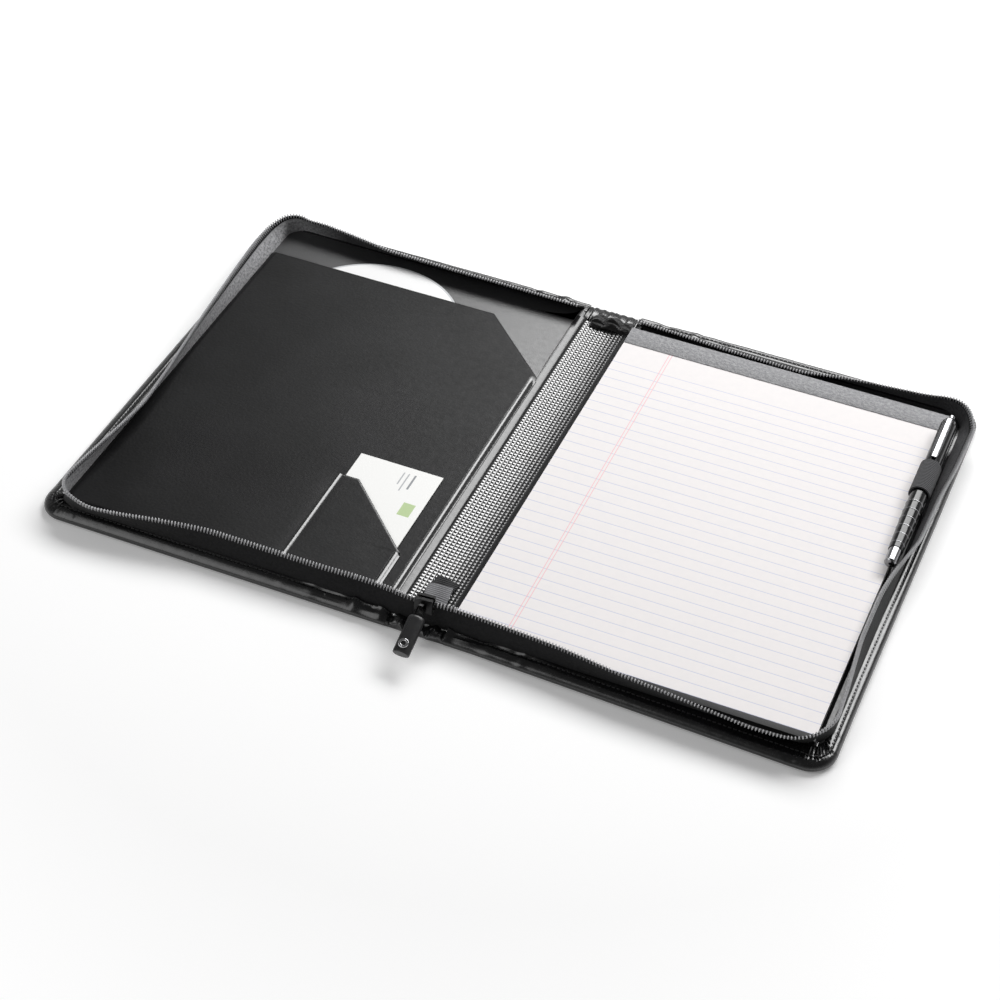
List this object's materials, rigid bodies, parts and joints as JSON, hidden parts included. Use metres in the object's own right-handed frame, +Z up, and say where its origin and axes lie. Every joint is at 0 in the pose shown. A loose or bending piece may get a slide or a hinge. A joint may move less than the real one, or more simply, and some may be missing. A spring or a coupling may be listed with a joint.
{
  "type": "zippered padfolio",
  "caption": "Zip-round padfolio lying open: padded covers on a folding spine, zip walls, ruled pad, pen in a loop, and pockets with a disc and a card.",
  "frame": {"origin": "underside of the spine, midway between the folds and midway along the covers", "axes": "+X across the open covers towards the pad, +Y along the spine away from the slider, +Z up"},
  "size_m": [0.501, 0.3611, 0.0273],
  "materials": {
    "black_leather": "glossy grained",
    "pocket_leather": "brushed charcoal",
    "liner_leather": "fine grain grey",
    "embossed_leather": "glossy embossed basket weave",
    "padding": "felted padding",
    "stiffener": "plain greyboard",
    "woven_tape": "woven twill",
    "grey_tape": "woven",
    "elastic": "ribbed elastic",
    "nylon_teeth": "satin",
    "black_metal": "gloss black",
    "dark_nickel": "polished dark",
    "chrome": "polished",
    "black_plastic": "gloss",
    "refill_plastic": "translucent white",
    "backing_board": "dark chipboard",
    "binding_board": "mottled grey",
    "ruled_paper": "matt, ruled",
    "card_paper": "smooth",
    "disc_plastic": "printed white"
  },
  "bodies": {
    "back_cover": {"back_skin": "black_leather", "back_foam": "padding", "back_board": "stiffener", "back_liner": "liner_leather", "back_zip_tape": "woven_tape", "back_zip_teeth": "nylon_teeth", "pad_pocket": "pocket_leather", "pen_loop": "elastic"},
    "spine": {"spine_skin": "black_leather", "spine_board": "stiffener", "spine_strip": "embossed_leather", "zip_end_tab": "grey_tape", "near_gusset": "black_leather", "far_gusset": "black_leather"},
    "front_cover": {"front_skin": "black_leather", "front_foam": "padding", "front_board": "stiffener", "front_liner": "liner_leather", "front_zip_tape": "woven_tape", "front_zip_teeth": "nylon_teeth", "front_tape_end": "woven_tape", "document_pocket": "pocket_leather", "card_pocket": "pocket_leather"},
    "zip_slider": {"slider_body": "black_metal"},
    "zip_pull": {"pull_link": "black_metal", "pull_grip": "black_leather", "pull_eyelet": "dark_nickel"},
    "pen": {"pen_nose": "chrome", "pen_lower_barrel": "black_plastic", "pen_upper_barrel": "black_plastic", "pen_clip": "chrome"},
    "pen_button": {"pen_button": "chrome"},
    "pen_refill": {"pen_refill": "refill_plastic"},
    "writing_pad": {"pad_backing": "backing_board", "pad_sheets": "ruled_paper", "pad_binding": "binding_board"},
    "business_card": {"business_card": "card_paper"},
    "compact_disc": {"compact_disc": "disc_plastic"}
  },
  "joints": [
    {"name": "spine_fold", "type": "hinge", "parent": "back_cover", "child": "spine", "pos_m": [0.018, 0, 0.0032], "axis": [0, 1, 0], "range_deg": [0, 90], "deforming": ["near_gusset", "front_tape_end"]},
    {"name": "cover_fold", "type": "hinge", "parent": "spine", "child": "front_cover", "pos_m": [-0.018, 0, 0.0032], "axis": [0, 1, 0], "range_deg": [0, 90], "deforming": ["near_gusset", "front_tape_end"]},
    {"name": "zip_slide", "type": "slide", "parent": "back_cover", "child": "zip_slider", "axis": [1, 0, 0], "range_m": [0, 0.2]},
    {"name": "pull_swing", "type": "hinge", "parent": "zip_slider", "child": "zip_pull", "pos_m": [0.003, -0.16275, 0.0212], "axis": [1, 0, 0], "range_deg": [-100, 0]},
    {"name": "pen_slide", "type": "slide", "parent": "back_cover", "child": "pen", "axis": [0, -1, 0], "range_m": [-0.015, 0]},
    {"name": "pen_click", "type": "slide", "parent": "pen", "child": "pen_button", "axis": [0, -1, 0], "range_m": [0, 0.004], "stiffness_N_per_m": 400, "springref_m": -0.003},
    {"name": "refill_feed", "type": "slide", "parent": "pen", "child": "pen_refill", "axis": [0, -1, 0], "range_m": [0, 0.004]},
    {"name": "pad_slide", "type": "slide", "parent": "back_cover", "child": "writing_pad", "axis": [1, 0, 0], "range_m": [-0.036, 0]},
    {"name": "card_slide", "type": "slide", "parent": "front_cover", "child": "business_card", "axis": [0, -1, 0], "range_m": [-0.065, 0.018]},
    {"name": "disc_slide", "type": "slide", "parent": "front_cover", "child": "compact_disc", "axis": [0, 1, 0], "range_m": [-0.17, 0.008]}
  ],
  "couplings": [
    {"joint": "refill_feed", "follows": "pen_click", "ratio": 1}
  ]
}
